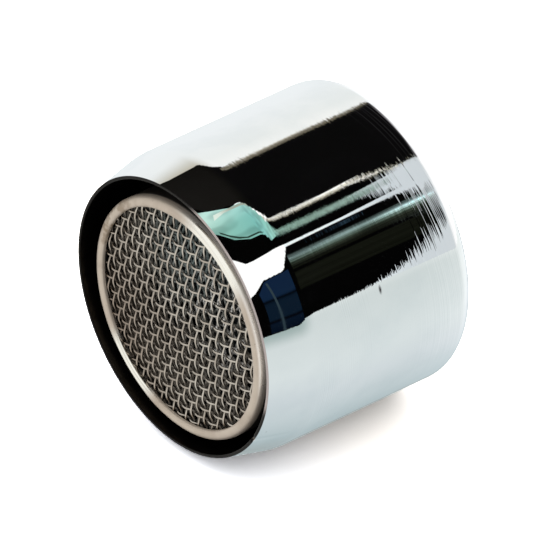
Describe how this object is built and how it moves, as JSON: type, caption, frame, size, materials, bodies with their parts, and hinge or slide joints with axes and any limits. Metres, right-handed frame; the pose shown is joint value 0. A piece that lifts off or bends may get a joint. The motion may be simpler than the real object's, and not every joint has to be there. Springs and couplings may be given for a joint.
{
  "type": "tap aerator",
  "caption": "Round tap aerator: a plated shell with an inside thread, holding a loose steel cup of wire gauze, a jet plate, a strainer and a rubber washer.",
  "frame": {"origin": "centre of the inlet end, on which the part stands", "axes": "+Z along the shell's axis to the outlet; -Y is the side that is uppermost in the picture"},
  "size_m": [0.024, 0.024, 0.0191],
  "materials": {
    "chrome_plate": "polished, with fine turning lines",
    "cup_steel": "dull, with a few brown stains",
    "gauze_wire": "drawn wire",
    "dark_acetal": "moulded",
    "pale_acetal": "moulded",
    "black_rubber": "matt"
  },
  "bodies": {
    "root": {"shell": "chrome_plate", "screen_cup": "cup_steel", "outlet_gauze": "gauze_wire", "middle_gauze": "gauze_wire", "inner_gauze": "gauze_wire", "mixing_sleeve": "dark_acetal", "jet_plate": "dark_acetal", "inlet_strainer": "pale_acetal", "sealing_washer": "black_rubber"}
  },
  "joints": []
}
